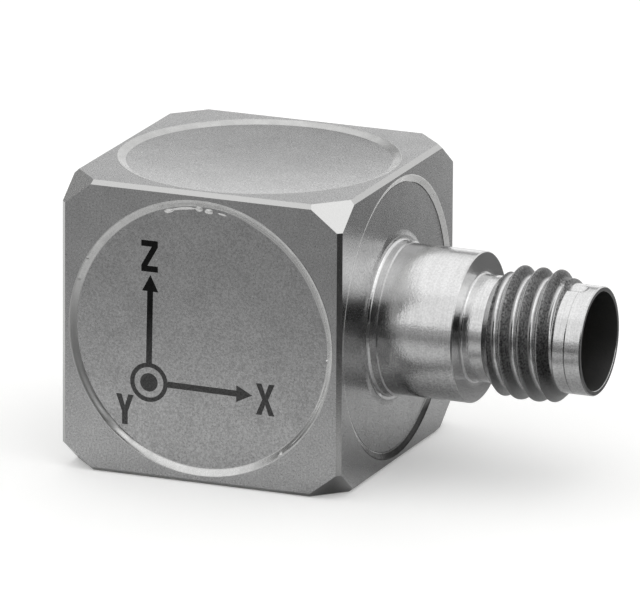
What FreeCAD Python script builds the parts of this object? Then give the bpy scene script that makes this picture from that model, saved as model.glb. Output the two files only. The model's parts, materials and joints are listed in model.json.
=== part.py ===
import FreeCAD, Part
import math
import os

# Miniature three-axis vibration sensor, in millimetres.
# A metal cube holds three shear elements, each in its own bore behind a welded round cover.
# A four-contact threaded receptacle stands on the cover of the +X face.
# Origin: centre of the cube's mounting face. +Z up, +X towards the receptacle, -Y the front cover.

# Cube
CUBE_SIZE = 14.0
EDGE_CHAMFER = 0.2
CORNER_CUT_X = 1.75
CORNER_CUT_Y = 1.85
CORNER_CUT_Z = 1.35

# Tapped hole in the mounting face
TAP_DRILL_RADIUS = 1.25
TAP_DEPTH = 3.4
TAP_ENTRY_RADIUS = 1.55
DRILL_POINT_ANGLE = 118.0

# Covers: the seam is a conical groove in the cube's face, the cover lies at its foot.
# Each margin is the metal left between the seam and the cube's side.
FRONT_SEAM_MARGIN = 0.42
FRONT_SEAM_WIDTH = 0.27
FRONT_COVER_SINK = 0.2
TOP_SEAM_MARGIN = 0.4
TOP_SEAM_WIDTH = 0.35
TOP_COVER_SINK = 0.15
SIDE_SEAM_MARGIN = 0.35
SIDE_SEAM_WIDTH = 0.3
SIDE_COVER_SINK = 0.15
COVER_THICKNESS = 0.3
COVER_CLEARANCE = 0.02

# Chamber under each cover and the element bore in its floor
CHAMBER_MARGIN = 1.4
CHAMBER_DEPTH = 1.2
BORE_RADIUS = 3.0
BORE_DEPTH = 3.3
BORE_OFFSET = 1.7

# Shear element: triangular post, three crystal plates, three masses, one preload ring
FLANGE_RADIUS = 2.8
FLANGE_THICKNESS = 0.5
POST_INRADIUS = 0.75
POST_HEIGHT = 2.4
PLATE_WIDTH = 1.9
PLATE_THICKNESS = 0.4
PLATE_HEIGHT = 2.2
MASS_OUTER_RADIUS = 2.35
MASS_WIDTH = 3.4
MASS_HEIGHT = 2.0
RING_WALL = 0.25
RING_HEIGHT = 1.1
BOND_LINE = 0.01
SIDES_OF_POST = 3

# Amplifier boards and what they carry
BOARD_MARGIN = 0.7
BOARD_THICKNESS = 0.3
CHIP_LENGTH = 2.0
CHIP_WIDTH = 1.4
CHIP_HEIGHT = 0.4
CHIP_OFFSET = 3.0
ELEMENT_LEAD_WIDTH = 0.3
ELEMENT_LEAD_THICKNESS = 0.12
LINK_LEAD_WIDTH = 0.4
LINK_LEAD_THICKNESS = 0.12
LINK_LEAD_BEND = 0.35
LINK_LEAD_RISE = 0.05

# Receptacle, with heights measured from the cube's +X face
FOOT_RADIUS = 3.85
FOOT_CLEARANCE = 0.02
FOOT_GROOVE_RADIUS = 4.08
FOOT_GROOVE_DEPTH = 0.16
FOOT_CONE_BOTTOM = -0.05
FOOT_CONE_TOP = 0.14
BARREL_RADIUS = 3.55
BARREL_LENGTH = 4.1
BARREL_CHAMFER = 0.05
NECK_RADIUS = 2.5
NECK_CORNER = 0.12
RIM_RADIUS = 2.56
RIM_CHAMFER = 0.05
RECEPTACLE_LENGTH = 10.05

# 1/4-28 thread: a band with chamfered ends, cut by a right-hand helical groove
THREAD_MAJOR_RADIUS = 3.1
THREAD_ROOT_RADIUS = 2.6
THREAD_PITCH = 25.4 / 28.0
THREAD_START = 5.15
THREAD_END = 8.7
THREAD_FLANK_ANGLE = 30.0
THREAD_ROOT_FLAT = 0.22
THREAD_GROOVE_AT_TOP = 6.53
CUTTER_MARGIN = 0.15
SWEEP_TOLERANCE = 0.001

# Scoop that blunts the thread's thin end, at the top of the rim
SCOOP_RADIUS = 0.5
SCOOP_DEPTH = 0.16
SCOOP_START = 8.87
SCOOP_LENGTH = 0.36
SCOOP_ANGLE = 8.0

# Inside of the receptacle: the mouth takes the plug's nose, the well below it holds the contacts
MOUTH_RADIUS = 2.32
MOUTH_DEPTH = 2.75
WELL_RADIUS = 2.15
WELL_DEPTH = 2.3
INSERT_RADIUS = 2.05
INSERT_LENGTH = 3.8
INSERT_CLEARANCE = 0.01
REAR_OPENING_RADIUS = 1.75
PIN_COUNT = 4
PIN_RADIUS = 0.25
PIN_CIRCLE_RADIUS = 1.15
PIN_FIRST_ANGLE = 45.0
PIN_HEIGHT = 2.2
PIN_TAPER = 0.12
PIN_CLEARANCE = 0.01

CENTRE = FreeCAD.Vector(0, 0, CUBE_SIZE / 2)
LOCAL_Z = FreeCAD.Vector(0, 0, 1)
THROUGH = 1.0
LINK_LEAD_SLANT = math.pi / 4


class Face:
    """One covered face of the cube: local +Z points out of it, local z = 0 is its plane."""

    def __init__(self, axis, rotation, seam_margin, seam_width, sink, bore_x, bore_y, chip_turn):
        self.axis = axis
        self.seam_radius = CUBE_SIZE / 2 - seam_margin
        self.pocket_radius = self.seam_radius - seam_width
        self.cover_top = -sink
        self.ledge = self.cover_top - COVER_THICKNESS
        self.chamber_floor = self.ledge - CHAMBER_DEPTH
        self.bore_floor = self.chamber_floor - BORE_DEPTH
        self.board_top = self.chamber_floor + BOARD_THICKNESS
        self.bore_x = bore_x * BORE_OFFSET
        self.bore_y = bore_y * BORE_OFFSET
        self.chip_turn = chip_turn
        self.rotation = rotation
        outward = rotation.multVec(LOCAL_Z)
        self.placement = FreeCAD.Placement(CENTRE + outward * (CUBE_SIZE / 2), rotation)

    def place(self, shape):
        """Carries a shape from the face's own frame to the cube's."""
        return shape.transformed(self.placement.toMatrix())


FRONT = Face(
    "y",
    FreeCAD.Rotation(FreeCAD.Vector(1, 0, 0), 90),
    FRONT_SEAM_MARGIN,
    FRONT_SEAM_WIDTH,
    FRONT_COVER_SINK,
    bore_x=-1,
    bore_y=-1,
    chip_turn=120,
)
TOP = Face(
    "z",
    FreeCAD.Rotation(),
    TOP_SEAM_MARGIN,
    TOP_SEAM_WIDTH,
    TOP_COVER_SINK,
    bore_x=-1,
    bore_y=1,
    chip_turn=240,
)
SIDE = Face(
    "x",
    FreeCAD.Rotation(FreeCAD.Vector(1, 1, 1), 120),
    SIDE_SEAM_MARGIN,
    SIDE_SEAM_WIDTH,
    SIDE_COVER_SINK,
    bore_x=1,
    bore_y=-1,
    chip_turn=315,
)
FACES = (FRONT, TOP, SIDE)


def chamber_radius():
    """Radius of the chambers, which break into each other at the cube's inner edges."""
    return CUBE_SIZE / 2 - CHAMBER_MARGIN


def cylinder(radius, bottom, top, x=0.0, y=0.0):
    """Upright cylinder between two heights."""
    return Part.makeCylinder(radius, top - bottom, FreeCAD.Vector(x, y, bottom))


def frustum(bottom_radius, top_radius, bottom, top):
    """Upright cone between two heights."""
    return Part.makeCone(bottom_radius, top_radius, top - bottom, FreeCAD.Vector(0, 0, bottom))


def revolved(points):
    """Solid of revolution about Z of a closed outline of (radius, height) points."""
    corners = [FreeCAD.Vector(radius, 0, height) for radius, height in points]
    outline = Part.makePolygon(corners + corners[:1])
    return Part.Face(outline).revolve(FreeCAD.Vector(0, 0, 0), LOCAL_Z, 360)


def turned(shape, angle):
    """Copy of a shape, turned about Z."""
    copy = shape.copy()
    copy.rotate(FreeCAD.Vector(0, 0, 0), LOCAL_Z, angle)
    return copy


def moved(shape, x, y, z):
    """Copy of a shape, shifted."""
    copy = shape.copy()
    copy.translate(FreeCAD.Vector(x, y, z))
    return copy


def corner_wedge(side_x, side_y, side_z):
    """Tetrahedron that cuts one corner of the cube."""
    half = CUBE_SIZE / 2
    tip = FreeCAD.Vector(side_x * half, side_y * half, side_z * half)
    along_x = tip - FreeCAD.Vector(side_x * CORNER_CUT_X, 0, 0)
    along_y = tip - FreeCAD.Vector(0, side_y * CORNER_CUT_Y, 0)
    along_z = tip - FreeCAD.Vector(0, 0, side_z * CORNER_CUT_Z)
    triangles = [
        (along_x, along_y, along_z),
        (tip, along_x, along_y),
        (tip, along_y, along_z),
        (tip, along_z, along_x),
    ]
    faces = [Part.Face(Part.makePolygon([a, b, c, a])) for a, b, c in triangles]
    wedge = Part.makeSolid(Part.makeShell(faces))
    if wedge.Volume < 0:
        wedge.reverse()
    wedge.translate(CENTRE)
    return wedge


def blank_cube():
    """Cube with its twelve edges chamfered and its eight corners cut flat."""
    half = CUBE_SIZE / 2
    cube = Part.makeBox(CUBE_SIZE, CUBE_SIZE, CUBE_SIZE, FreeCAD.Vector(-half, -half, 0))
    cube = cube.makeChamfer(EDGE_CHAMFER, cube.Edges)
    for side_x in (-1, 1):
        for side_y in (-1, 1):
            for side_z in (-1, 1):
                cube = cube.cut(corner_wedge(side_x, side_y, side_z))
    return cube


def face_pocket(face):
    """Everything that is cut from the cube behind one cover."""
    seam = frustum(face.pocket_radius, face.seam_radius, face.cover_top, 0)
    outside = cylinder(face.seam_radius, 0, THROUGH)
    pocket = cylinder(face.pocket_radius, face.ledge, face.cover_top)
    chamber = cylinder(chamber_radius(), face.chamber_floor, face.ledge)
    bore = cylinder(BORE_RADIUS, face.bore_floor, face.chamber_floor, face.bore_x, face.bore_y)
    return face.place(seam.fuse([outside, pocket, chamber, bore]).removeSplitter())


def tapped_hole():
    """Blind hole in the mounting face, with its entry chamfer and drill point."""
    entry = TAP_ENTRY_RADIUS - TAP_DRILL_RADIUS
    point = TAP_DRILL_RADIUS / math.tan(math.radians(DRILL_POINT_ANGLE / 2))
    return revolved([
        (0, -THROUGH),
        (TAP_ENTRY_RADIUS, -THROUGH),
        (TAP_ENTRY_RADIUS, 0),
        (TAP_DRILL_RADIUS, entry),
        (TAP_DRILL_RADIUS, TAP_DEPTH),
        (0, TAP_DEPTH + point),
    ])


def housing():
    body = blank_cube()
    for face in FACES:
        body = body.cut(face_pocket(face))
    return body.cut(tapped_hole())


def cover_disc(face):
    """Round cover in its pocket, in the face's own frame."""
    return cylinder(face.pocket_radius - COVER_CLEARANCE, face.ledge, face.cover_top)


def side_cover():
    """Cover with the hole for the receptacle's foot and the groove of their seam."""
    hole_radius = FOOT_RADIUS + FOOT_CLEARANCE
    groove_foot = SIDE.cover_top - FOOT_GROOVE_DEPTH
    hole = cylinder(hole_radius, SIDE.ledge - THROUGH, SIDE.cover_top + THROUGH)
    groove = frustum(hole_radius, FOOT_GROOVE_RADIUS, groove_foot, SIDE.cover_top)
    return cover_disc(SIDE).cut(hole).cut(groove)


def groove_profile(height):
    """Closed outline of the thread groove at angle zero, its middle at the given height."""
    slope = math.tan(math.radians(THREAD_FLANK_ANGLE))
    outer_radius = THREAD_MAJOR_RADIUS + CUTTER_MARGIN
    crest_half = THREAD_ROOT_FLAT / 2 + (THREAD_MAJOR_RADIUS - THREAD_ROOT_RADIUS) * slope
    rising = [
        (THREAD_ROOT_RADIUS, THREAD_ROOT_FLAT / 2),
        (THREAD_MAJOR_RADIUS, crest_half),
        (outer_radius, crest_half),
    ]
    falling = [(radius, -half) for radius, half in reversed(rising)]
    corners = [FreeCAD.Vector(radius, 0, height + half) for radius, half in falling + rising]
    return Part.makePolygon(corners + corners[:1])


def threaded_band():
    """Band with chamfered ends and the helical groove, solid to the axis."""
    band = revolved([
        (0, THREAD_START),
        (NECK_RADIUS, THREAD_START),
        (THREAD_MAJOR_RADIUS, THREAD_START + THREAD_MAJOR_RADIUS - NECK_RADIUS),
        (THREAD_MAJOR_RADIUS, THREAD_END - THREAD_MAJOR_RADIUS + RIM_RADIUS),
        (RIM_RADIUS, THREAD_END),
        (0, THREAD_END),
    ])
    turns_below = math.ceil((THREAD_GROOVE_AT_TOP - THREAD_START) / THREAD_PITCH) + 1
    quarter_turn = THREAD_PITCH / 4
    start = THREAD_GROOVE_AT_TOP - quarter_turn - THREAD_PITCH * turns_below
    helix = Part.makeHelix(THREAD_PITCH, THREAD_END + THREAD_PITCH - start, THREAD_MAJOR_RADIUS)
    helix.translate(FreeCAD.Vector(0, 0, start))
    groove = Part.Wire(helix).makePipeShell([groove_profile(start)], True, True)
    return band.cut([groove], SWEEP_TOLERANCE)


def receptacle_blank():
    """Turned outside of the receptacle without its thread band, solid to the axis."""
    shoulder = BARREL_LENGTH
    band_middle = (THREAD_START + THREAD_END) / 2
    return revolved([
        (0, SIDE.ledge),
        (FOOT_RADIUS, SIDE.ledge),
        (FOOT_RADIUS, FOOT_CONE_BOTTOM),
        (BARREL_RADIUS, FOOT_CONE_TOP),
        (BARREL_RADIUS, shoulder - BARREL_CHAMFER),
        (BARREL_RADIUS - BARREL_CHAMFER, shoulder),
        (NECK_RADIUS + NECK_CORNER, shoulder),
        (NECK_RADIUS, shoulder + NECK_CORNER),
        (NECK_RADIUS, band_middle),
        (RIM_RADIUS, band_middle),
        (RIM_RADIUS, RECEPTACLE_LENGTH - RIM_CHAMFER),
        (RIM_RADIUS - RIM_CHAMFER, RECEPTACLE_LENGTH),
        (0, RECEPTACLE_LENGTH),
    ])


def scoop():
    """Round-ended cutter, lying along the axis at the thread's thin end."""
    height = RIM_RADIUS + SCOOP_RADIUS - SCOOP_DEPTH
    bottom = SCOOP_START
    top = SCOOP_START + SCOOP_LENGTH
    cutter = cylinder(SCOOP_RADIUS, bottom, top)
    for end in (bottom, top):
        ball = Part.makeSphere(SCOOP_RADIUS, FreeCAD.Vector(0, 0, end))
        cutter = cutter.fuse(ball)
    return turned(moved(cutter, 0, height, 0), SCOOP_ANGLE)


def insert_top():
    """Height of the insert's outer face, at the bottom of the well."""
    return RECEPTACLE_LENGTH - MOUTH_DEPTH - WELL_DEPTH


def receptacle_bore():
    """Mouth, well, seat of the insert and rear opening."""
    seat_bottom = insert_top() - INSERT_LENGTH
    mouth = cylinder(MOUTH_RADIUS, RECEPTACLE_LENGTH - MOUTH_DEPTH, RECEPTACLE_LENGTH + THROUGH)
    well = cylinder(WELL_RADIUS, insert_top(), RECEPTACLE_LENGTH - MOUTH_DEPTH)
    seat = cylinder(INSERT_RADIUS, seat_bottom, insert_top())
    rear = cylinder(REAR_OPENING_RADIUS, SIDE.ledge - THROUGH, seat_bottom)
    return mouth.fuse([well, seat, rear])


def connector_shell():
    shell = receptacle_blank().fuse(threaded_band())
    shell = shell.cut(scoop())
    return shell.cut(receptacle_bore())


def pin_centres():
    """Centres of the contact pins about the receptacle's axis."""
    centres = []
    for number in range(PIN_COUNT):
        angle = math.radians(PIN_FIRST_ANGLE + number * 360.0 / PIN_COUNT)
        centres.append((PIN_CIRCLE_RADIUS * math.cos(angle), PIN_CIRCLE_RADIUS * math.sin(angle)))
    return centres


def connector_insert():
    """Insulating block with one hole for each contact."""
    top = insert_top()
    bottom = top - INSERT_LENGTH
    block = cylinder(INSERT_RADIUS - INSERT_CLEARANCE, bottom, top)
    for x, y in pin_centres():
        hole = cylinder(PIN_RADIUS + PIN_CLEARANCE, bottom - THROUGH, top + THROUGH, x, y)
        block = block.cut(hole)
    return block


def contact_pin(x, y):
    """Contact with a tapered tip, from the board's face into the well."""
    top = insert_top() + PIN_HEIGHT
    shoulder = top - PIN_TAPER
    shank = cylinder(PIN_RADIUS, SIDE.board_top, shoulder, x, y)
    tip = moved(frustum(PIN_RADIUS, PIN_RADIUS - PIN_TAPER, shoulder, top), x, y, 0)
    return shank.fuse(tip)


def element_post():
    """Triangular post on its round base flange, standing on z = 0."""
    flange = cylinder(FLANGE_RADIUS, 0, FLANGE_THICKNESS)
    corner_radius = POST_INRADIUS / math.cos(math.pi / SIDES_OF_POST)
    corners = []
    for number in range(SIDES_OF_POST):
        angle = math.radians((number + 0.5) * 360.0 / SIDES_OF_POST)
        corners.append(FreeCAD.Vector(corner_radius * math.cos(angle), corner_radius * math.sin(angle), 0))
    outline = Part.Face(Part.makePolygon(corners + corners[:1]))
    prism = outline.extrude(LOCAL_Z * (FLANGE_THICKNESS + POST_HEIGHT))
    return flange.fuse(prism).removeSplitter()


def plate_inner():
    """Distance of a crystal plate's inner face from the post's axis."""
    return POST_INRADIUS + BOND_LINE


def mass_inner():
    """Distance of a mass's inner face from the post's axis."""
    return plate_inner() + PLATE_THICKNESS + BOND_LINE


def element_middle():
    """Height of the middle of the plates, masses and ring above the flange's foot."""
    return FLANGE_THICKNESS + POST_HEIGHT / 2


def shear_plate(number):
    """Flat crystal plate on one side of the post."""
    corner = FreeCAD.Vector(plate_inner(), -PLATE_WIDTH / 2, element_middle() - PLATE_HEIGHT / 2)
    plate = Part.makeBox(PLATE_THICKNESS, PLATE_WIDTH, PLATE_HEIGHT, corner)
    return turned(plate, number * 360.0 / SIDES_OF_POST)


def seismic_mass(number):
    """Block with a flat back and a round outside, on one crystal plate."""
    bottom = element_middle() - MASS_HEIGHT / 2
    round_bar = cylinder(MASS_OUTER_RADIUS, bottom, bottom + MASS_HEIGHT)
    corner = FreeCAD.Vector(mass_inner(), -MASS_WIDTH / 2, bottom)
    keep = Part.makeBox(MASS_OUTER_RADIUS, MASS_WIDTH, MASS_HEIGHT, corner)
    return turned(round_bar.common(keep), number * 360.0 / SIDES_OF_POST)


def ring_outer():
    """Outer radius of the preload ring."""
    return MASS_OUTER_RADIUS + BOND_LINE + RING_WALL


def preload_ring():
    """Shrunk ring that clamps the masses and plates to the post."""
    bottom = element_middle() - RING_HEIGHT / 2
    outer = cylinder(ring_outer(), bottom, bottom + RING_HEIGHT)
    return outer.cut(cylinder(MASS_OUTER_RADIUS + BOND_LINE, bottom, bottom + RING_HEIGHT))


def element_lead(face):
    """Straight ribbon from the preload ring to the board above it, in the element's own frame."""
    bottom = element_middle() + RING_HEIGHT / 2
    top = face.chamber_floor - face.bore_floor
    x = ring_outer() - RING_WALL / 2 - ELEMENT_LEAD_THICKNESS / 2
    corner = FreeCAD.Vector(x, -ELEMENT_LEAD_WIDTH / 2, bottom)
    return Part.makeBox(ELEMENT_LEAD_THICKNESS, ELEMENT_LEAD_WIDTH, top - bottom, corner)


def amplifier_board(face):
    """Round board on the chamber's floor."""
    return cylinder(chamber_radius() - BOARD_MARGIN, face.chamber_floor, face.board_top)


def amplifier_chip(face):
    """Amplifier chip on the board's outer side."""
    corner = FreeCAD.Vector(CHIP_OFFSET - CHIP_WIDTH / 2, -CHIP_LENGTH / 2, face.board_top)
    chip = Part.makeBox(CHIP_WIDTH, CHIP_LENGTH, CHIP_HEIGHT, corner)
    return turned(chip, face.chip_turn)


def ribbon_section(middle, across):
    """Rectangular section of a link lead about a point; across is its thin direction."""
    thin = across * (LINK_LEAD_THICKNESS / 2)
    wide = FreeCAD.Vector(0, LINK_LEAD_WIDTH / 2, 0)
    corners = [middle - thin - wide, middle + thin - wide, middle + thin + wide, middle - thin + wide]
    return Part.Face(Part.makePolygon(corners + corners[:1]))


def ribbon_run(start, end):
    """Straight stretch of a link lead between two points of the XZ plane."""
    along = end - start
    across = FreeCAD.Vector(along.z, 0, -along.x).normalize()
    return ribbon_section(start, across).extrude(along)


def link_lead_turn():
    """Degrees from square to a board into the slanted run between the boards."""
    return 180 - math.degrees(LINK_LEAD_SLANT)


def ribbon_bend(x, z, angle):
    """Bend of a link lead in the XZ plane about (x, z), from the given angle towards +Z."""
    centre = FreeCAD.Vector(x, 0, z)
    bend_axis = FreeCAD.Vector(0, -1, 0)
    middle = centre + FreeCAD.Vector(LINK_LEAD_BEND, 0, 0)
    bend = ribbon_section(middle, FreeCAD.Vector(1, 0, 0)).revolve(centre, bend_axis, link_lead_turn())
    bend.rotate(centre, bend_axis, angle)
    return bend


def link_lead(face):
    """Bent ribbon from one board's outer side to the side board's, through the gap between chambers.

    Its plane holds both faces' outward directions: x along the side face's, z along the other's.
    """
    half = CUBE_SIZE / 2
    bend = LINK_LEAD_BEND
    slant = bend * math.cos(LINK_LEAD_SLANT)
    foot_z = half + face.board_top
    foot_x = half + SIDE.board_top
    gap_x = (half + SIDE.chamber_floor + chamber_radius()) / 2
    gap_z = (half + face.chamber_floor + chamber_radius()) / 2
    rise_z = foot_z + LINK_LEAD_RISE
    rise_x = foot_x + LINK_LEAD_RISE
    start_x = gap_x + gap_z - rise_z - bend - 2 * slant
    end_z = gap_x + gap_z - rise_x - bend - 2 * slant
    lead = ribbon_run(FreeCAD.Vector(start_x, 0, foot_z), FreeCAD.Vector(start_x, 0, rise_z))
    slant_start = FreeCAD.Vector(start_x + bend + slant, 0, rise_z + slant)
    slant_end = FreeCAD.Vector(rise_x + slant, 0, end_z + bend + slant)
    lead = lead.fuse([
        ribbon_bend(start_x + bend, rise_z, 180 - link_lead_turn()),
        ribbon_run(slant_start, slant_end),
        ribbon_bend(rise_x, end_z + bend, 180 - 2 * link_lead_turn()),
        ribbon_run(FreeCAD.Vector(rise_x, 0, end_z), FreeCAD.Vector(foot_x, 0, end_z)),
    ])
    return lead.transformed(FreeCAD.Placement(CENTRE, face.rotation).toMatrix())


def solids():
    """Every node's name and shape."""
    nodes = {
        "housing": housing(),
        "front_cover": FRONT.place(cover_disc(FRONT)),
        "top_cover": TOP.place(cover_disc(TOP)),
        "side_cover": SIDE.place(side_cover()),
        "connector_shell": SIDE.place(connector_shell()),
        "connector_insert": SIDE.place(connector_insert()),
    }
    for number, (x, y) in enumerate(pin_centres(), 1):
        nodes["contact_pin_%d" % number] = SIDE.place(contact_pin(x, y))
    for face in (FRONT, TOP):
        nodes["link_lead_" + face.axis] = link_lead(face)
    for face in FACES:
        nodes["amplifier_board_" + face.axis] = face.place(amplifier_board(face))
        nodes["amplifier_chip_" + face.axis] = face.place(amplifier_chip(face))
        element = {
            "element_post_": element_post(),
            "preload_ring_": preload_ring(),
            "element_lead_": element_lead(face),
        }
        for name, shape in element.items():
            nodes[name + face.axis] = face.place(moved(shape, face.bore_x, face.bore_y, face.bore_floor))
        for number in range(SIDES_OF_POST):
            tail = "%s_%d" % (face.axis, number + 1)
            plate = moved(shear_plate(number), face.bore_x, face.bore_y, face.bore_floor)
            mass = moved(seismic_mass(number), face.bore_x, face.bore_y, face.bore_floor)
            nodes["shear_plate_" + tail] = face.place(plate)
            nodes["seismic_mass_" + tail] = face.place(mass)
    return nodes


def main():
    os.makedirs("parts", exist_ok=True)
    for name, shape in solids().items():
        shape.exportStep(os.path.join("parts", name + ".step"))


main()
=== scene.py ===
import json
import math

import bpy
import numpy as np
from mathutils import Matrix, Vector

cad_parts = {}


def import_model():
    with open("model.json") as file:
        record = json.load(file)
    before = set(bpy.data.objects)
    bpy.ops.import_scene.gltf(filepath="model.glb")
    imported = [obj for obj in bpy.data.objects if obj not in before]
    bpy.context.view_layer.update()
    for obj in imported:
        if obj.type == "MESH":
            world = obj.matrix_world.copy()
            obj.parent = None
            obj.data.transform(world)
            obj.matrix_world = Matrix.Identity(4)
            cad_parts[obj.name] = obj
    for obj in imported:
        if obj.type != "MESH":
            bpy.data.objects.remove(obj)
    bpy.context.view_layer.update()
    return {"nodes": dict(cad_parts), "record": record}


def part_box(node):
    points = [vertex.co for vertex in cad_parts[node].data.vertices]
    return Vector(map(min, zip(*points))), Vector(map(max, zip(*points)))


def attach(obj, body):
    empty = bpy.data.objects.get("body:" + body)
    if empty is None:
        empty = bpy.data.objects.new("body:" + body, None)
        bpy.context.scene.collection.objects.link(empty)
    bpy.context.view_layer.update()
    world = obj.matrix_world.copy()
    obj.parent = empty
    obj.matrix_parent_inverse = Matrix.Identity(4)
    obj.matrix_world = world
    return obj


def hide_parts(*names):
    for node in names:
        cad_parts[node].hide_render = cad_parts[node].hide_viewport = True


# Looks of the miniature vibration sensor.
# Sizes are in millimetres, in the part's own frame, and become metres where meshes are made.

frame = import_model()

MM = 0.001
SEED = 7

# Cube, seams and receptacle, read from the frame
CUBE_LOW, CUBE_HIGH = [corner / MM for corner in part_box("housing")]
SHELL_LOW, SHELL_HIGH = [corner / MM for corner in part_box("connector_shell")]
CUBE_MIDDLE = (CUBE_LOW + CUBE_HIGH) / 2
SIDE_FACE = CUBE_HIGH.x
FRONT_COVER_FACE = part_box("front_cover")[0].y / MM
TOP_COVER_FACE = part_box("top_cover")[1].z / MM
SIDE_COVER_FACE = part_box("side_cover")[1].x / MM
FRONT_COVER_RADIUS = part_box("front_cover")[1].x / MM
TOP_COVER_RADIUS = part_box("top_cover")[1].x / MM
SIDE_COVER_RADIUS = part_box("side_cover")[1].y / MM

# Receptacle, with heights measured from the cube's +X face. The foot's step is (height, radius) points
SHELL_BOTTOM = SHELL_LOW.x - SIDE_FACE
SHELL_TOP = SHELL_HIGH.x - SIDE_FACE
FOOT_RADIUS = 3.85
FOOT_STEP = ((-0.05, 3.85), (-0.045, 3.72), (0.03, 3.69), (0.07, 3.64), (0.38, 3.63), (0.43, 3.55))
BARREL_RADIUS = 3.55
BARREL_TOP = 4.1
BARREL_CHAMFER = 0.05
NECK_RADIUS = 2.5
NECK_CORNER = 0.12
RIM_RADIUS = 2.56
RIM_CHAMFER = 0.05
RIM_LINE = 9.26
RIM_LINE_WIDTH = 0.06
RIM_LINE_DEPTH = 0.03
MOUTH_RADIUS = 2.32
MOUTH_CHAMFER = 0.02
MOUTH_DEPTH = 2.75
WELL_RADIUS = 2.15
WELL_DEPTH = 2.3
INSERT_RADIUS = 2.05
INSERT_LENGTH = 3.8
REAR_RADIUS = 1.75

# Thread of the receptacle
THREAD_MAJOR = 3.1
THREAD_ROOT = 2.6
THREAD_PITCH = 25.4 / 28
THREAD_START = 5.15
THREAD_END = 8.7
THREAD_FLANK = math.radians(30)
THREAD_ROOT_FLAT = 0.16
THREAD_GROOVE_AT_TOP = 6.53
THREAD_ROUNDING = 0.11

# Low ridge beside the last crest, where the thread starts, with heights measured from the thread's end
RUNOUT_RISE = 0.2
RUNOUT_SLOPE = (0.06, -0.2)
RUNOUT_BESIDE_CREST = -0.3
RUNOUT_START = -0.6
RUNOUT_ANGLE = math.radians(75)
RUNOUT_HALF_WIDTHS = (math.radians(40), math.radians(20))

# Scoop at the thread's thin end
SCOOP_RADIUS = 0.5
SCOOP_DEPTH = 0.16
SCOOP_START = 8.87
SCOOP_LENGTH = 0.36
SCOOP_ANGLE = math.radians(98)

# Radius that stands for no limit
UNLIMITED = 9.0

# Spacing of the receptacle's mesh
SHELL_COLUMNS = 224
THREAD_ROWS = 0.02
LINE_ROWS = 0.01


def hashed(cell_x, cell_y):
    """Repeatable pseudo-random numbers from 0 to 1 for integer cells."""
    wave = np.sin(cell_x * 127.1 + cell_y * 311.7 + SEED * 19.19) * 43758.5453
    return wave - np.floor(wave)


def smooth_noise(x, y):
    """Value noise from -1 to 1 on a unit grid."""
    cell_x, cell_y = np.floor(x), np.floor(y)
    part_x, part_y = x - cell_x, y - cell_y
    ease_x = part_x * part_x * (3 - 2 * part_x)
    ease_y = part_y * part_y * (3 - 2 * part_y)
    low = hashed(cell_x, cell_y) * (1 - ease_x) + hashed(cell_x + 1, cell_y) * ease_x
    high = hashed(cell_x, cell_y + 1) * (1 - ease_x) + hashed(cell_x + 1, cell_y + 1) * ease_x
    return 2 * (low * (1 - ease_y) + high * ease_y) - 1


def smoothstep(low, high, value):
    share = np.clip((value - low) / (high - low), 0, 1)
    return share * share * (3 - 2 * share)


# Materials


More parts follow.
